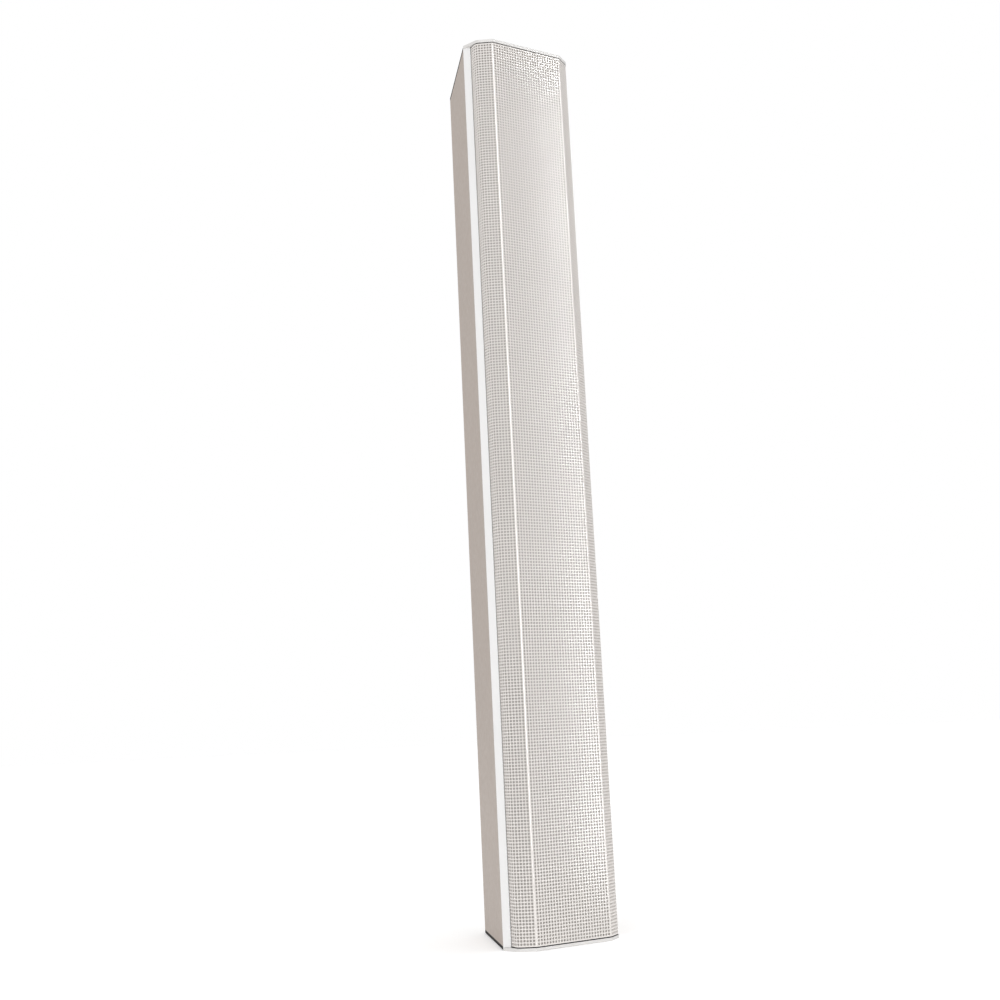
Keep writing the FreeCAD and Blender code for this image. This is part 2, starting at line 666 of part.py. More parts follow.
def bent_wire(points, bend):
    """A round wire along straight runs joined by tangent arcs."""
    corners = [Vector(*p) for p in points]
    edges = []
    start = corners[0]
    for before, corner, after in zip(corners, corners[1:], corners[2:]):
        into = (corner - before).normalize()
        away = (after - corner).normalize()
        turn = into.getAngle(away)
        reach = bend * math.tan(turn / 2)
        arc_start = corner - into * reach
        arc_end = corner + away * reach
        inward = (away - into).normalize()
        middle = corner + inward * (bend / math.cos(turn / 2) - bend)
        edges.append(Part.LineSegment(start, arc_start).toShape())
        edges.append(Part.Arc(arc_start, middle, arc_end).toShape())
        start = arc_end
    edges.append(Part.LineSegment(start, corners[-1]).toShape())
    path = Part.Wire(edges)
    along = (corners[1] - corners[0]).normalize()
    circle = Part.Wire(Part.makeCircle(WIRE_RADIUS, corners[0], along))
    return path.makePipeShell([circle], True, False)


def trunk_wires():
    """One conductor down each side, with a short tail to every driver's lug."""
    top = Vector(TRUNK_X, TRUNK_Y, DRIVER_Z[-1] + WIRE_RADIUS)
    bottom = Vector(TRUNK_X, TRUNK_Y, DRIVER_Z[0] - WIRE_RADIUS)
    tails = [
        rod(WIRE_RADIUS, Vector(LUG_END_X, TRUNK_Y, z), Vector(TRUNK_X, TRUNK_Y, z))
        for z in DRIVER_Z
    ]
    feed_x, feed_y = 10.0, 103.0
    feed = bent_wire([
        (TRUNK_X, TRUNK_Y, TRANSFORMER_Z), (TRUNK_X - 1, feed_y, TRANSFORMER_Z),
        (feed_x, feed_y, TRANSFORMER_Z), (feed_x, WINDING_FRONT - 0.2, TRANSFORMER_Z),
    ], 6.0)
    right = rod(WIRE_RADIUS, bottom, top).fuse(tails + [feed])
    return [right, mirrored(right)]


def wiring_harness():
    """The trunks, and the leads from the terminals by way of the selector to the transformer."""
    lead_y = BODY_DEPTH - 11.0
    rise_y = WINDING_FRONT + 3.5
    rise = [
        bent_wire([
            (x, lead_y, SELECTOR_Z + 12.2), (x, lead_y, SELECTOR_Z + 40),
            (x, rise_y, SELECTOR_Z + 90), (x, rise_y, TRANSFORMER_Z - CORE[2] / 3),
        ], 12.0)
        for x in (-6.0, 6.0)
    ]
    link = [
        rod(WIRE_RADIUS, Vector(x, lead_y, TERMINAL_Z + 9.2), Vector(x, lead_y, SELECTOR_Z - 12.2))
        for x in (-6.0, 6.0)
    ]
    return trunk_wires() + rise + link


# Rear connection cover and what it carries

def cover_plate(y_range, size, radius):
    wide, tall = size
    plate = block((-wide / 2, wide / 2), y_range, (COVER_Z - tall / 2, COVER_Z + tall / 2))
    deep = y_range[1] - y_range[0]
    corners = [
        e for e in plate.Edges
        if abs(e.Length - deep) < 0.01 and e.BoundBox.YLength > deep / 2
    ]
    return plate.makeFillet(radius, corners)


def selector_ticks():
    """Engraved marks at the selector's five positions."""
    ticks = []
    for k in range(-2, 3):
        mark = block((-0.5, 0.5), (COVER_OUTER - 0.4, COVER_OUTER + 1), (13.0, 17.0))
        mark = mark.rotated(Vector(0, 0, 0), BACKWARD, k * TICK_STEP)
        ticks.append(mark.translated(Vector(0, 0, SELECTOR_Z)))
    return ticks


def connection_cover():
    depth = (COVER_INNER - 1, COVER_OUTER + 1)
    plate = cover_plate((COVER_INNER, COVER_OUTER), COVER_SIZE, 5.0)
    outer_rim = [
        e for e in plate.Edges
        if e.BoundBox.YMin > COVER_OUTER - 0.01
    ]
    plate = plate.makeChamfer(0.8, outer_rim)
    holes = [through_y(COVER_SCREW_HOLE, x, z, depth) for x, z in COVER_SCREWS]
    holes.append(through_y(GLAND_THREAD + FIT_GAP, 0, GLAND_Z, depth))
    holes.append(through_y(BUSHING_RADIUS + FIT_GAP, 0, SELECTOR_Z, depth))
    return cut_all(plate, holes + selector_ticks())


def cover_gasket():
    wide, tall = COVER_OPENING
    depth = (BODY_DEPTH, COVER_INNER)
    sheet = cover_plate(depth, (COVER_SIZE[0] - 1, COVER_SIZE[1] - 1), 4.5)
    holes = [through_y(COVER_SCREW_HOLE, x, z, depth) for x, z in COVER_SCREWS]
    holes.append(block((-wide / 2, wide / 2), depth, (COVER_Z - tall / 2, COVER_Z + tall / 2)))
    return cut_all(sheet, holes)


def cover_screws():
    """Dome-head screws through the cover into the back wall."""
    screws = []
    for x, z in COVER_SCREWS:
        top_y = COVER_OUTER + COVER_HEAD
        head = through_y(COVER_HEAD_RADIUS, x, z, (COVER_OUTER, top_y))
        rim = [e for e in head.Edges if e.BoundBox.YMin > top_y - 0.01]
        head = head.makeFillet(1.4, rim)
        shank = through_y(COVER_SCREW_RADIUS, x, z, (BODY_DEPTH - WALL, COVER_OUTER))
        socket = hexagon_y(SOCKET_FLATS, x, z, (top_y - SOCKET_DEPTH, top_y))
        screws.append(head.fuse(shank).cut(socket))
    return screws


def cable_gland():
    """Threaded body, dome nut, lock nut inside the cover, and the rubber seal in the middle."""
    collar_end = COVER_OUTER + GLAND_COLLAR
    thread = (COVER_INNER - 8, COVER_OUTER)
    seal_outer = GLAND_BORE + 2
    body = hexagon_y(GLAND_HEX, 0, GLAND_Z, (COVER_OUTER, collar_end))
    body = body.fuse([
        through_y(GLAND_THREAD, 0, GLAND_Z, thread),
        through_y(GLAND_THREAD, 0, GLAND_Z, (collar_end, collar_end + 3)),
    ]).removeSplitter()
    body = body.cut(through_y(seal_outer, 0, GLAND_Z, (thread[0], collar_end + 3)))
    dome = turned(
        [(seal_outer, 3.0), (GLAND_THREAD, 3.0), (GLAND_THREAD, 0.0), (11.0, 0.0), (11.0, 6.0),
         (9.6, 10.5), (7.6, GLAND_DOME), (GLAND_BORE + 0.6, GLAND_DOME),
         (GLAND_BORE + 0.6, GLAND_DOME - 1.5), (seal_outer, GLAND_DOME - 2.5)],
        GLAND_Z, collar_end)
    grips = []
    for k in range(12):
        notch = block((10.2, 12.0), (collar_end + 1, collar_end + 6), (-1.0, 1.0))
        notch = notch.rotated(Vector(0, 0, 0), BACKWARD, 30 * k)
        grips.append(notch.translated(Vector(0, 0, GLAND_Z)))
    dome = cut_all(dome, grips)
    nut = hexagon_y(19.0, 0, GLAND_Z, (COVER_INNER - 5, COVER_INNER))
    nut = nut.cut(through_y(GLAND_THREAD, 0, GLAND_Z, (COVER_INNER - 6, COVER_INNER + 1)))
    seal = tube_y(seal_outer, GLAND_BORE, 0, GLAND_Z, (thread[0], collar_end + GLAND_DOME - 3))
    return [body, dome, nut, seal]


def terminal_block():
    """Three-way screw terminal on the inside of the cover."""
    half_z = 9.0
    body = block((-16, 16), (COVER_INNER - 15, COVER_INNER), (TERMINAL_Z - half_z, TERMINAL_Z + half_z))
    holes = []
    for x in (-10.0, 0.0, 10.0):
        holes.append(through_y(2.4, x, TERMINAL_Z + 3, (COVER_INNER - 16, COVER_INNER - 7)))
        holes.append(rod(1.8, Vector(x, COVER_INNER - 7, TERMINAL_Z - half_z - 1),
                         Vector(x, COVER_INNER - 7, TERMINAL_Z - 1)))
    screws = [
        through_y(2.2, x, TERMINAL_Z + 3, (COVER_INNER - 12, COVER_INNER - 7.2))
        for x in (-10.0, 0.0, 10.0)
    ]
    return [cut_all(body, holes)] + screws


def tap_selector_switch():
    """Rotary switch behind the cover, its threaded bushing and the nut on the outside."""
    body = block((-12, 12), (COVER_INNER - 18, COVER_INNER), (SELECTOR_Z - 12, SELECTOR_Z + 12))
    bushing = through_y(BUSHING_RADIUS, 0, SELECTOR_Z, (COVER_INNER, COVER_OUTER + 3.5))
    bore = (COVER_INNER - 12, COVER_OUTER + 4)
    body = body.fuse(bushing).cut(through_y(SHAFT_RADIUS + SHAFT_CLEARANCE, 0, SELECTOR_Z, bore))
    nut = hexagon_y(13.0, 0, SELECTOR_Z, (COVER_OUTER, COVER_OUTER + 2.2))
    nut = nut.cut(through_y(BUSHING_RADIUS, 0, SELECTOR_Z, (COVER_OUTER - 1, COVER_OUTER + 3)))
    return [body, nut]


def tap_selector_knob():
    """Knob and the shaft that it turns, with a raised pointer that rests straight up."""
    base = COVER_OUTER + 0.8
    skirt = turned(
        [(8.0, 0.0), (KNOB_RADIUS, 0.0), (KNOB_RADIUS, 2.6), (9.2, 4.0), (8.6, 12.0), (7.8, 13.0),
         (0.0, 13.0), (0.0, 4.5), (8.0, 4.5)],
        SELECTOR_Z, base)
    pointer = block((-1.1, 1.1), (base + 4.5, base + 13.8), (SELECTOR_Z, SELECTOR_Z + 9.6))
    knob = skirt.fuse(pointer).removeSplitter()
    shaft = through_y(SHAFT_RADIUS, 0, SELECTOR_Z, (COVER_INNER - 11.5, base + 4.5))
    return [knob, shaft]


def mounting_inserts():
    """M6 threaded inserts pressed into the back wall."""
    pieces = []
    for x, z in insert_points():
        inner = (BODY_DEPTH - INSERT_LENGTH, BODY_DEPTH)
        barrel = through_y(INSERT_BARREL, x, z, inner)
        flange = through_y(INSERT_FLANGE, x, z, (BODY_DEPTH, BODY_DEPTH + 1.0))
        bore = through_y(INSERT_BORE, x, z, (inner[0] - 1, BODY_DEPTH + 2))
        pieces.append(barrel.fuse(flange).removeSplitter().cut(bore))
    return pieces


def save(node, shape):
    """Writes one node, moved to the part's own frame."""
    solids = shape if isinstance(shape, list) else [shape]
    solids = [solid for piece in solids for solid in piece.Solids]
    whole = solids[0] if len(solids) == 1 else Part.Compound(solids)
    if not whole.isValid():
        raise ValueError(f"{node} isn't a valid solid")
    whole.translated(SHIFT).exportStep(f"parts/{node}.step")


def main():
    os.makedirs("parts", exist_ok=True)
    right_trim = front_trim_right()
    bottom_rim = bottom_rim_trim()
    bottom_cap = bottom_end_cap()
    lower_gasket = bottom_gasket()
    lower_screws = [cap_screw(x, y) for x, y in CAP_SCREW_POINTS]
    save("enclosure_extrusion", enclosure_extrusion())
    save("front_trim_right", right_trim)
    save("front_trim_left", mirrored(right_trim))
    save("bottom_rim_trim", bottom_rim)
    save("top_rim_trim", upended(bottom_rim))
    save("bottom_end_cap", bottom_cap)
    save("top_end_cap", upended(bottom_cap))
    save("end_cap_gaskets", [lower_gasket, upended(lower_gasket)])
    save("end_cap_screws", lower_screws + [upended(screw) for screw in lower_screws])
    save("front_grille", front_grille())
    save("grille_cloth", grille_cloth())
    save("grille_edge_seals", grille_edge_seals())
    save("baffle", baffle())
    save("baffle_gasket", baffle_gasket())
    save("front_screws", front_screws())
    for number, z in enumerate(DRIVER_Z, start=1):
        save(f"driver_{number}_basket", driver_basket(z))
        save(f"driver_{number}_motor", driver_motor(z))
        save(f"driver_{number}_cone", driver_cone(z))
        save(f"driver_{number}_suspension", driver_suspension(z))
    save("transformer_core", transformer_core())
    save("transformer_winding", transformer_winding())
    save("transformer_frame", transformer_frame())
    save("damping_wool", damping_wool())
    save("wiring_harness", wiring_harness())
    save("connection_cover", connection_cover())
    save("cover_gasket", cover_gasket())
    save("cover_screws", cover_screws())
    save("cable_gland", cable_gland())
    save("terminal_block", terminal_block())
    save("tap_selector_switch", tap_selector_switch())
    save("tap_selector_knob", tap_selector_knob())
    save("mounting_inserts", mounting_inserts())


main()
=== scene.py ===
import json
import math

import bmesh
import bpy
import numpy as np
from mathutils import Matrix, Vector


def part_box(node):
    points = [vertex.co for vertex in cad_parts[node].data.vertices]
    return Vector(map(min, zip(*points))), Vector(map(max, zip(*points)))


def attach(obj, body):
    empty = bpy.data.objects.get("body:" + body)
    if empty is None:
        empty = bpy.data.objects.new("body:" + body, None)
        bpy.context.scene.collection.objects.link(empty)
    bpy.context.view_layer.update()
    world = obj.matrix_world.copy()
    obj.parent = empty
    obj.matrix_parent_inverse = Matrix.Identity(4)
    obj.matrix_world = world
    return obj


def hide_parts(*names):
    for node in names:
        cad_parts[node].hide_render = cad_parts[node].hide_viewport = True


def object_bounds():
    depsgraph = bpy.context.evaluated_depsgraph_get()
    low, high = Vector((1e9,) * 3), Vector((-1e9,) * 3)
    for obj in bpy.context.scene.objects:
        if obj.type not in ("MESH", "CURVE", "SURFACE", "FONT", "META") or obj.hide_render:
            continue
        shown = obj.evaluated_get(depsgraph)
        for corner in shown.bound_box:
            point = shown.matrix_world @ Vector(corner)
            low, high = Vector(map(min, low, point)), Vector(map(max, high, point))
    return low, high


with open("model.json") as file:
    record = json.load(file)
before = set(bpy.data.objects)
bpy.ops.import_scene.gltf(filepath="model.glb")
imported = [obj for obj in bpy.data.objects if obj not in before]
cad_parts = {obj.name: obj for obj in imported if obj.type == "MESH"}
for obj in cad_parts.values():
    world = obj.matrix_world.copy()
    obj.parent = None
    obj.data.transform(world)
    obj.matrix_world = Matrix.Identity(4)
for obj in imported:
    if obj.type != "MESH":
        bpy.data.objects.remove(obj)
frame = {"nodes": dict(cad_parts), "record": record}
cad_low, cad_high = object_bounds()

NODES = frame["nodes"]
MM = 0.001

# Where the camera stands, and how it is turned towards +X, tilted upwards and rolled about its line of sight
CAMERA_LENS = 44.89              # millimetres, for the sensor's width below
CAMERA_SENSOR = 36.0
CAMERA_PLACE = (-0.8273, -1.4676, 0.2604)
CAMERA_TURN = math.radians(28.76)
CAMERA_UP = math.radians(10.56)
CAMERA_ROLL = math.radians(-2.70)
CAMERA_REACH = 100.0

# Surroundings and floor
SURROUNDINGS_LIGHT = 0.84
FLOOR_GLOW = 0.28
FLOOR_RADIUS = 30.0

# Bowed front of the grille: a flat centre, folds, angled facets, and rolls into the flanges
GRILLE_SHEET = 1.2 * MM
FOLD_CORNER = 53.5 * MM          # where the centre and a facet would meet without the fold's radius
FOLD_RADIUS = 2.5 * MM
FACET_ANGLE = math.radians(32.2)
ROLL_RADIUS = 10.0 * MM
FOLD_STEPS = 4

# Perforation
HOLE_RADIUS = 1.5 * MM
ROW_PITCH = 3.9 * MM
CENTRE_COLUMNS = 26
SIDE_COLUMNS = 9
SIDE_PITCH = 3.85 * MM
FOLD_BAND = 0.5 * MM             # unperforated, on each side of a fold
END_BAND = 1.2 * MM              # unperforated, at each end of the grille
GRILLE_LENGTHS = 4
# Steps on the grid from a hole's middle to the points around it
HOLE_RING = [(1, 0), (1, 1), (0, 1), (-1, 1), (-1, 0), (-1, -1), (0, -1), (1, -1)]

# Acoustic cloth
CLOTH_SHEET = 0.5 * MM
CLOTH_COLUMNS = 96
CLOTH_ROWS = 120
THREAD_PITCH = 0.7 * MM

# Wadding: rounded edges, the cell of its surface, and two sizes of hollows as (name, width, depth)
WADDING_ROUND = 12 * MM
WADDING_CELL = 3 * MM
WADDING_HOLLOWS = [("lumps", 45 * MM, 9 * MM), ("tufts", 9 * MM, 3 * MM)]

# Rounds along the sharp edges of the bright trims
EDGE_ROUND = 0.3 * MM
ROUNDED_NODES = ["front_trim_left", "front_trim_right", "top_rim_trim", "bottom_rim_trim"]

# Points nearer to each other than this are joined before edges are rounded
WELD_DISTANCE = 0.005 * MM

# Sheets are shaded sharp along edges steeper than this
SMOOTH_ANGLE = math.radians(35)

# Wire of the transformer's winding
WIRE_PITCH = 0.45 * MM


# Camera

def aim_camera():
    """The standing point and tilt that show the left side, the grille, and a slight lean."""
    camera = bpy.data.objects.new("camera", bpy.data.cameras.new("camera"))
    bpy.context.scene.collection.objects.link(camera)
    bpy.context.scene.camera = camera
    camera.data.sensor_width = CAMERA_SENSOR
    camera.data.lens = CAMERA_LENS
    camera.data.clip_end = CAMERA_REACH
    camera.matrix_world = (
        Matrix.Translation(CAMERA_PLACE)
        @ Matrix.Rotation(-CAMERA_TURN, 4, "Z")
        @ Matrix.Rotation(math.pi / 2 + CAMERA_UP, 4, "X")
        @ Matrix.Rotation(CAMERA_ROLL, 4, "Z")
    )


# Studio

def area_light(name, turn, distance, height, size, power, glossy_only=False):
    """An upright panel that faces the speaker, at an angle in degrees from straight in front towards +X."""
    data = bpy.data.lights.new(name, "AREA")
    data.shape = "RECTANGLE"
    data.size, data.size_y = size
    data.energy = power
    light = bpy.data.objects.new(name, data)
    angle = math.radians(turn)
    light.location = (distance * math.sin(angle), -distance * math.cos(angle), height)
    light.rotation_euler = (math.pi / 2, 0, angle)
    light.visible_diffuse = not glossy_only
    light.visible_camera = False
    bpy.context.scene.collection.objects.link(light)


def studio():
    """White surroundings, a weak key at the left, and two panels that only show as glints."""
    scene = bpy.context.scene
    scene.view_settings.view_transform = "Standard"
    world = bpy.data.worlds.new("studio")
    world.use_nodes = True
    scene.world = world
    tree = world.node_tree
    tree.nodes.clear()
    output = tree.nodes.new("ShaderNodeOutputWorld")
    seen = tree.nodes.new("ShaderNodeBackground")
    seen.inputs["Color"].default_value = (1, 1, 1, 1)
    lighting = tree.nodes.new("ShaderNodeBackground")
    lighting.inputs["Color"].default_value = (1, 1, 1, 1)
    lighting.inputs["Strength"].default_value = SURROUNDINGS_LIGHT
    rays = tree.nodes.new("ShaderNodeLightPath")
    mix = tree.nodes.new("ShaderNodeMixShader")
    tree.links.new(rays.outputs["Is Camera Ray"], mix.inputs["Fac"])
    tree.links.new(lighting.outputs[0], mix.inputs[1])
    tree.links.new(seen.outputs[0], mix.inputs[2])
    tree.links.new(mix.outputs[0], output.inputs["Surface"])
    area_light("glint", turn=32.8, distance=0.664, height=0.75, size=(0.04, 2.0), power=8.0,
               glossy_only=True)
    area_light("fold_glint", turn=-12.0, distance=1.2, height=1.0, size=(0.17, 2.6), power=75.0,
               glossy_only=True)
    area_light("key", turn=-45.0, distance=3.3, height=1.2, size=(1.4, 2.0), power=8.0)


def floor():
    """A wide pale disc level with the speaker's base."""
    outline = bmesh.new()
    bmesh.ops.create_circle(outline, cap_ends=True, segments=96, radius=FLOOR_RADIUS)
    mesh = bpy.data.meshes.new("floor")
    outline.to_mesh(mesh)
    outline.free()
    disc = bpy.data.objects.new("floor", mesh)
    disc.location.z = cad_low.z
    bpy.context.scene.collection.objects.link(disc)
    paint = coated("floor_paint", (0.93, 0.93, 0.93), 0.75, grain=40.0, bump=0.0)
    bsdf = paint.node_tree.nodes["Principled BSDF"]
    bsdf.inputs["Emission Color"].default_value = (1, 1, 1, 1)
    bsdf.inputs["Emission Strength"].default_value = FLOOR_GLOW
    mesh.materials.append(paint)


# Materials

# Colour sockets of a Mix node, whose names are shared with its sockets for numbers
MIX_FIRST, MIX_SECOND, MIX_RESULT = 6, 7, 2


class Shader:
    """A Principled material with short calls for the nodes around it."""

    def __init__(self, name, colour, roughness, metallic=0.0):
        self.material = bpy.data.materials.new(name)
        self.material.use_nodes = True
        self.material.diffuse_color = (*colour, 1)
        self.tree = self.material.node_tree
        self.bsdf = self.tree.nodes["Principled BSDF"]
        self.set("Base Color", (*colour, 1))
        self.set("Roughness", roughness)
        self.set("Metallic", metallic)
        self.place = self.tree.nodes.new("ShaderNodeTexCoord").outputs["Object"]

    def set(self, socket, value):
        self.bsdf.inputs[socket].default_value = value

    def link(self, output, socket):
        self.tree.links.new(output, self.bsdf.inputs[socket])

    def node(self, kind, inputs=None, **settings):
        node = self.tree.nodes.new(kind)
        for key, value in settings.items():
            setattr(node, key, value)
        for key, value in (inputs or {}).items():
            if isinstance(value, bpy.types.NodeSocket):
                self.tree.links.new(value, node.inputs[key])
            else:
                node.inputs[key].default_value = value
        return node

    def stretched(self, scale):
        """Object coordinates scaled along each axis."""
        return self.node("ShaderNodeMapping", {"Vector": self.place, "Scale": scale}).outputs[0]

    def noise(self, scale, detail=2.0, vector=None, roughness=0.5):
        return self.node("ShaderNodeTexNoise", {
            "Vector": vector or self.place, "Scale": scale, "Detail": detail,
            "Roughness": roughness}).outputs["Fac"]

    def ranged(self, value, low, high, start=0.3, end=0.7):
        return self.node("ShaderNodeMapRange", {
            "Value": value, "From Min": start, "From Max": end, "To Min": low,
            "To Max": high}).outputs["Result"]

    def tint(self, factor, first, second):
        """A base colour between the first, at factor 0, and the second, at factor 1."""
        colours = {MIX_FIRST: (*first, 1), MIX_SECOND: (*second, 1)}
        mix = self.node("ShaderNodeMix", colours, data_type="RGBA")
        self.tree.links.new(factor, mix.inputs["Factor"])
        self.link(mix.outputs[MIX_RESULT], "Base Color")

    def bump(self, height, strength, distance):
        node = self.node("ShaderNodeBump", {
            "Height": height, "Strength": strength, "Distance": distance})
        self.link(node.outputs["Normal"], "Normal")

    def maths(self, operation, first, second=0.0):
        return self.node("ShaderNodeMath", {0: first, 1: second}, operation=operation).outputs[0]


def shade(colour, factor):
    return tuple(min(1.0, c * factor) for c in colour)


def coated(name, colour, roughness, grain=900.0, bump=0.12, mottle=0.015, spread=0.06):
    """Paint or powder coat: fine orange peel, and a faint change of tone over larger patches."""
    s = Shader(name, colour, roughness)
    patches = s.noise(5.0, 3.0)
    s.tint(s.ranged(patches, 0.0, 1.0), shade(colour, 1 - mottle), shade(colour, 1 + mottle))
    s.link(s.ranged(s.noise(grain / 6, 3.0), roughness - spread, roughness + spread), "Roughness")
    if bump:
        s.bump(s.noise(grain, 2.0), bump, 0.0004)
    return s.material


def moulded(name, colour, roughness, grain=1400.0, bump=0.3, specular=0.5):
    """Moulded plastic or rubber with a fine spark-eroded texture and a little dust."""
    s = Shader(name, colour, roughness)
    s.set("Specular IOR Level", specular)
    dust = s.ranged(s.noise(60.0, 6.0), 0.0, 1.0, 0.45, 0.8)
    s.tint(dust, colour, tuple(c + 0.008 for c in colour))
    s.link(s.ranged(s.noise(grain / 10), roughness - 0.08, roughness + 0.08), "Roughness")
    cells = s.node("ShaderNodeTexVoronoi", {"Vector": s.place, "Scale": grain}).outputs["Distance"]
    s.bump(cells, bump, 0.0002)
    return s.material


def plated(name, colour, roughness, stretch=(1.0, 1.0, 1.0)):
    """Plated or rolled metal with fine drawn lines."""
    s = Shader(name, colour, roughness, 1.0)
    lines = s.noise(900.0, 4.0, s.stretched(stretch))
    s.tint(s.ranged(s.noise(80.0, 4.0), 0.0, 1.0), shade(colour, 0.85), shade(colour, 1.1))
    s.link(s.ranged(lines, roughness - 0.08, roughness + 0.14), "Roughness")
    s.bump(lines, 0.15, 0.0001)
    return s.material


def woven(name, colour, pitch):
    """Plain weave: two families of threads, each over and under the other."""
    s = Shader(name, colour, 0.9)
    s.set("Sheen Weight", 0.2)
    turns = 2 * math.pi / pitch
    split = s.node("ShaderNodeSeparateXYZ", {0: s.place})
    across = s.maths("SINE", s.maths("MULTIPLY", split.outputs["X"], turns))
    along = s.maths("SINE", s.maths("MULTIPLY", split.outputs["Z"], turns))
    weave = s.maths("MULTIPLY", across, along)
    s.tint(s.ranged(weave, 0.0, 1.0, -1.0, 1.0), shade(colour, 0.82), shade(colour, 1.12))
    s.bump(weave, 0.5, 0.0002)
    return s.material


def fibrous(name, colour):
    """Loose polyester fibre."""
    s = Shader(name, colour, 0.95)
    s.set("Sheen Weight", 0.4)
    strands = s.noise(220.0, 8.0, s.stretched((1.0, 1.0, 3.0)), 0.7)
    s.tint(s.ranged(strands, 0.0, 1.0), shade(colour, 0.8), shade(colour, 1.08))
    s.bump(strands, 0.9, 0.002)
    return s.material


def board(name, colour):
    """Stained fibre board with a faint grain along its length."""
    s = Shader(name, colour, 0.7)
    grain = s.noise(60.0, 6.0, s.stretched((6.0, 6.0, 0.4)), 0.6)
    s.tint(s.ranged(grain, 0.0, 1.0), shade(colour, 0.7), shade(colour, 1.5))
    s.bump(grain, 0.3, 0.0003)
    return s.material


def wound(name, colour):
    """Enamelled wire in close layers, with painted shade in the grooves between the turns."""
    s = Shader(name, colour, 0.3, 1.0)
    split = s.node("ShaderNodeSeparateXYZ", {0: s.place})
    turns_and_groove_shade = s.maths("SINE", s.maths("MULTIPLY", split.outputs["Z"], 2 * math.pi / WIRE_PITCH))
    # The tint is painted shade: darker in the grooves between the turns and lighter on their crowns
    s.tint(s.ranged(turns_and_groove_shade, 0.0, 1.0, -1.0, 1.0), shade(colour, 0.5), shade(colour, 1.1))
    s.bump(turns_and_groove_shade, 0.6, 0.0002)
    return s.material


def coned(name, colour):
    """Pulp and mineral cone: short flecks under a soft coating."""
    s = Shader(name, colour, 0.6)
    flecks = s.node("ShaderNodeTexVoronoi", {"Vector": s.place, "Scale": 700.0}).outputs["Distance"]
    s.tint(s.ranged(flecks, 0.0, 1.0, 0.1, 0.8), shade(colour, 1.7), colour)
    s.bump(flecks, 0.4, 0.0003)
    return s.material


def make_materials():
    """One material for each slot of the record, keyed by the slot's name."""
    return {
        # enclosure_paint is partly a warmer paint than the trims and partly painted shade: its colour is
        # darkened far below white, to the tone its side shows when turned from the light
        "enclosure_paint": coated("enclosure_paint", (0.385, 0.32, 0.275), 0.45),
        "trim_paint": coated("trim_paint", (0.82, 0.815, 0.812), 0.38, grain=1200.0, bump=0.06),
        "rim_paint": coated("rim_paint", (0.68, 0.665, 0.65), 0.42, grain=1200.0, bump=0.06),
        "grille_paint": coated("grille_paint", (0.75, 0.715, 0.685), 0.23, grain=1500.0, spread=0.03),
        # cap_plastic is partly the end caps' own black and partly painted shade: the caps' rib behind the
        # rims is a dark part put where a shadow line falls
        "cap_plastic": moulded("cap_plastic", (0.012, 0.011, 0.011), 0.75, specular=0.15),
        "seal_rubber": moulded("seal_rubber", (0.015, 0.015, 0.015), 0.75),
        "cloth": woven("cloth", (0.47, 0.44, 0.415), THREAD_PITCH),
        "baffle_board": board("baffle_board", (0.05, 0.045, 0.04)),
        "zinc_steel": plated("zinc_steel", (0.70, 0.70, 0.68), 0.32),
        "basket_paint": coated("basket_paint", (0.03, 0.03, 0.032), 0.5, grain=1000.0, bump=0.25),
        "motor_iron": plated("motor_iron", (0.22, 0.22, 0.23), 0.5),
        "cone_plastic": coned("cone_plastic", (0.035, 0.035, 0.037)),
        "surround_rubber": moulded("surround_rubber", (0.02, 0.02, 0.021), 0.5, grain=500.0, bump=0.1),
        "lamination_steel": plated("lamination_steel", (0.30, 0.31, 0.33), 0.45, stretch=(1.0, 40.0, 1.0)),
        "copper_wire": wound("copper_wire", (0.72, 0.36, 0.16)),
        "wadding": fibrous("wadding", (0.80, 0.80, 0.76)),
        "wire_insulation": moulded("wire_insulation", (0.35, 0.03, 0.02), 0.35, grain=300.0, bump=0.05),
        "gland_nylon": moulded("gland_nylon", (0.45, 0.45, 0.44), 0.5),
        "terminal_nylon": moulded("terminal_nylon", (0.05, 0.20, 0.10), 0.45),
        "switch_plastic": moulded("switch_plastic", (0.04, 0.04, 0.045), 0.45),
        "knob_plastic": moulded("knob_plastic", (0.025, 0.025, 0.026), 0.4, grain=900.0, bump=0.15),
    }


def finish_nodes(materials):
    """Gives every CAD node the material of its slot."""
    for part in frame["record"]["subparts"]:
        mesh = NODES[part["node"]].data
        mesh.materials.clear()
        mesh.materials.append(materials[part["material_slot"]])


def soften_edges():
    """Narrow rounds on the trims, which catch the light along their edges."""
    for node in ROUNDED_NODES:
        weld = NODES[node].modifiers.new("weld", "WELD")
        weld.merge_threshold = WELD_DISTANCE
        rounds = NODES[node].modifiers.new("rounds", "BEVEL")
        rounds.width = EDGE_ROUND
        rounds.segments = 2
        rounds.limit_method = "ANGLE"
        rounds.angle_limit = math.radians(30)
        rounds.harden_normals = True


# Bowed sheets

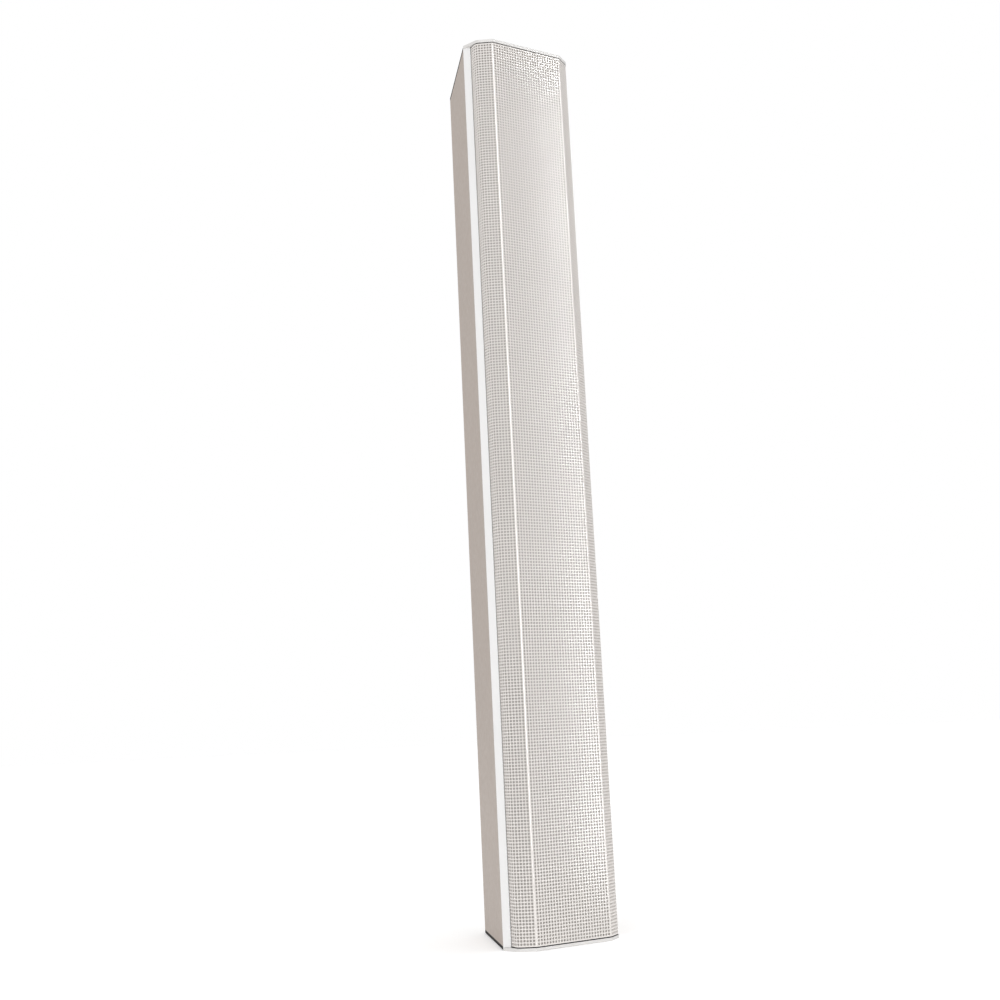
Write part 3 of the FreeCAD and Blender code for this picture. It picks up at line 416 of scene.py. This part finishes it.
class Bow:
    """The grille's outer face as a path measured from the middle, the same to both sides."""

    def __init__(self):
        low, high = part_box("front_grille")
        self.front = low.y
        half = high.x
        flat = FOLD_CORNER - FOLD_RADIUS * math.tan(FACET_ANGLE / 2)
        roll_angle = math.pi / 2 - FACET_ANGLE
        facet = (half - flat - FOLD_RADIUS * math.sin(FACET_ANGLE)
                 - ROLL_RADIUS * (1 - math.sin(FACET_ANGLE))) / math.cos(FACET_ANGLE)
        deep = (FOLD_RADIUS * (1 - math.cos(FACET_ANGLE)) + facet * math.sin(FACET_ANGLE)
                + ROLL_RADIUS * math.cos(FACET_ANGLE))
        self.flat, self.fold = flat, FOLD_RADIUS * FACET_ANGLE
        self.spans = [
            (flat, 0.0), (self.fold, 1 / FOLD_RADIUS), (facet, 0.0),
            (ROLL_RADIUS * roll_angle, 1 / ROLL_RADIUS), (high.y - low.y - deep, 0.0),
        ]
        self.ends = np.cumsum([length for length, _ in self.spans])
        self.roll_end = self.ends[-2]

    def at(self, u, depth=0.0):
        """The point (x, y) at distance u along the path, depth under the outer face."""
        side, left = (1 if u >= 0 else -1), abs(u)
        x = y = heading = 0.0
        for length, bend in self.spans:
            step = min(left, length)
            turned = heading + bend * step
            if bend:
                x += (math.sin(turned) - math.sin(heading)) / bend
                y += (math.cos(heading) - math.cos(turned)) / bend
            else:
                x += step * math.cos(heading)
                y += step * math.sin(heading)
            heading, left = turned, left - step
            if left <= 0:
                break
        return side * (x - depth * math.sin(heading)), self.front + y + depth * math.cos(heading)


def grille_lines(bow):
    """Lines along the path, and which of them run through the middles of the holes."""
    step = (bow.flat - FOLD_BAND) / CENTRE_COLUMNS
    centre = [(k * step, k % 2 == 1) for k in range(CENTRE_COLUMNS + 1)]
    fold = [(bow.flat + bow.fold * k / FOLD_STEPS, False) for k in range(FOLD_STEPS + 1)]
    side_start = bow.flat + bow.fold + FOLD_BAND
    side = [(side_start + k * SIDE_PITCH / 2, k % 2 == 1) for k in range(2 * SIDE_COLUMNS + 1)]
    right = centre + fold + side + [(bow.ends[-1], False)]
    left = [(-u, middle) for u, middle in reversed(right[1:])]
    return left + right


def grid_points(bow, u, v, depth):
    """Points where the lines u and v cross, column by column, at a depth under the outer face."""
    points = np.empty((len(u), len(v), 3))
    points[:, :, :2] = np.array([bow.at(value, depth) for value in u])[:, None, :]
    points[:, :, 2] = v[None, :]
    return points.reshape(-1, 3)


def skin_faces(index, columns, rows, open_cells):
    """Both skins of a sheet, without its open cells."""
    faces = []
    for i in range(columns - 1):
        for j in range(rows - 1):
            if (i, j) not in open_cells:
                quad = [(i, j), (i + 1, j), (i + 1, j + 1), (i, j + 1)]
                faces.append([index(0, a, b) for a, b in quad])
                faces.append([index(1, a, b) for a, b in reversed(quad)])
    return faces


def border_faces(index, columns, rows):
    """The walls that join the two skins along a sheet's four sides."""
    faces = []
    for i in range(columns - 1):
        for j, flip in ((0, False), (rows - 1, True)):
            wall = [index(0, i, j), index(1, i, j), index(1, i + 1, j), index(0, i + 1, j)]
            faces.append(wall[::-1] if flip else wall)
    for j in range(rows - 1):
        for i, flip in ((0, True), (columns - 1, False)):
            wall = [index(0, i, j), index(1, i, j), index(1, i, j + 1), index(0, i, j + 1)]
            faces.append(wall[::-1] if flip else wall)
    return faces


def hole_rim(bow, middle, depth, radius):
    """The corners of a hole's edge at one depth, with the hole's middle at height 0."""
    turns = [2 * math.pi * k / len(HOLE_RING) for k in range(len(HOLE_RING))]
    return np.array([
        (*bow.at(middle + radius * math.cos(turn), depth), radius * math.sin(turn)) for turn in turns
    ])


def hole_faces(index, i, j, start):
    """The skins between a hole and the grid around it, and its wall. Its rims begin at vertex start."""
    faces = []
    for k, here in enumerate(HOLE_RING):
        after = HOLE_RING[(k + 1) % len(HOLE_RING)]
        grid = [(i + here[0], j + here[1]), (i + after[0], j + after[1])]
        front = [start + k, start + (k + 1) % len(HOLE_RING)]
        back = [vertex + len(HOLE_RING) for vertex in front]
        faces.append([index(0, *grid[0]), index(0, *grid[1]), front[1], front[0]])
        faces.append([index(1, *grid[1]), index(1, *grid[0]), back[0], back[1]])
        faces.append([front[0], front[1], back[1], back[0]])
    return faces


def mesh_object(name, vertices, faces):
    """A smooth object made of the faces and of the vertices that they use."""
    used = np.unique(np.concatenate([np.array(face) for face in faces]))
    renumber = np.zeros(len(vertices), int)
    renumber[used] = np.arange(len(used))
    mesh = bpy.data.meshes.new(name)
    mesh.from_pydata(vertices[used].tolist(), [], [renumber[face].tolist() for face in faces])
    mesh.validate()
    mesh.shade_smooth()
    mesh.set_sharp_from_angle(angle=SMOOTH_ANGLE)
    made = bpy.data.objects.new(name, mesh)
    bpy.context.scene.collection.objects.link(made)
    return made


def bent_sheet(name, bow, across, along, depths, hole_radius=0.0):
    """A closed sheet between two depths under the bow. A hole is cut where two middle lines cross."""
    u = np.array([value for value, _ in across])
    v = np.array([value for value, _ in along])
    columns, rows = len(u), len(v)

    def index(skin, i, j):
        return (skin * columns + i) * rows + j

    pierced = [i for i, (_, middle) in enumerate(across) if middle] if hole_radius else []
    levels = [j for j, (_, middle) in enumerate(along) if middle]
    open_cells = {(i + a, j + b) for i in pierced for j in levels for a in (-1, 0) for b in (-1, 0)}
    vertices = [grid_points(bow, u, v, depth) for depth in depths]
    faces = skin_faces(index, columns, rows, open_cells) + border_faces(index, columns, rows)
    start = len(depths) * columns * rows
    for i in pierced:
        rims = [hole_rim(bow, u[i], depth, hole_radius) for depth in depths]
        for j in levels:
            vertices += [rim + (0, 0, v[j]) for rim in rims]
            faces += hole_faces(index, i, j, start)
            start += len(depths) * len(HOLE_RING)
    return mesh_object(name, np.concatenate(vertices), faces)


def perforated_grille(bow, materials):
    """The grille in equal lengths, one above the other, each a closed mesh of manageable size."""
    low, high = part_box("front_grille")
    across = grille_lines(bow)
    tall = high.z - low.z - 2 * END_BAND
    rows = GRILLE_LENGTHS * round(tall / ROW_PITCH / GRILLE_LENGTHS)
    pitch = tall / rows
    each = rows // GRILLE_LENGTHS
    for number in range(GRILLE_LENGTHS):
        start = low.z + END_BAND + number * each * pitch
        along = [(start + k * pitch / 2, k % 2 == 1) for k in range(2 * each + 1)]
        if number == 0:
            along = [(low.z, False)] + along
        if number == GRILLE_LENGTHS - 1:
            along = along + [(high.z, False)]
        piece = bent_sheet(f"grille_length_{number + 1}", bow, across, along,
                           (0.0, GRILLE_SHEET), HOLE_RADIUS)
        piece.data.materials.append(materials["grille_paint"])
        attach(piece, "column")
        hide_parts("front_grille")


def acoustic_cloth(bow, materials):
    """The cloth stretched behind the grille, between its two flanges."""
    low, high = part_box("grille_cloth")
    half = bow.roll_end + high.y - bow.at(bow.roll_end)[1]
    across = [(half * (2 * k / CLOTH_COLUMNS - 1), False) for k in range(CLOTH_COLUMNS + 1)]
    along = [(low.z + (high.z - low.z) * k / CLOTH_ROWS, False) for k in range(CLOTH_ROWS + 1)]
    gap = low.y - bow.front
    cloth = bent_sheet("stretched_cloth", bow, across, along, (gap, gap + CLOTH_SHEET))
    cloth.data.materials.append(materials["cloth"])
    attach(cloth, "column")
    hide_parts("grille_cloth")


def loose_wadding(materials):
    """A block of polyester wadding with rounded edges and an uneven, fluffy surface."""
    block = bpy.data.objects.new("wadding_block", NODES["damping_wool"].data.copy())
    bpy.context.scene.collection.objects.link(block)
    block.data.materials.clear()
    block.data.materials.append(materials["wadding"])
    weld = block.modifiers.new("weld", "WELD")
    weld.merge_threshold = WELD_DISTANCE
    rounds = block.modifiers.new("rounds", "BEVEL")
    rounds.width = WADDING_ROUND
    rounds.segments = 3
    cells = block.modifiers.new("cells", "REMESH")
    cells.mode = "VOXEL"
    cells.voxel_size = WADDING_CELL
    cells.use_smooth_shade = True
    for name, width, depth in WADDING_HOLLOWS:
        texture = bpy.data.textures.new(name, "CLOUDS")
        texture.noise_scale = width
        hollow = block.modifiers.new(name, "DISPLACE")
        hollow.texture = texture
        hollow.mid_level = 1.0
        hollow.strength = depth
    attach(block, "column")
    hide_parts("damping_wool")


aim_camera()
studio()
floor()
slots = make_materials()
finish_nodes(slots)
soften_edges()
front = Bow()
perforated_grille(front, slots)
acoustic_cloth(front, slots)
loose_wadding(slots)
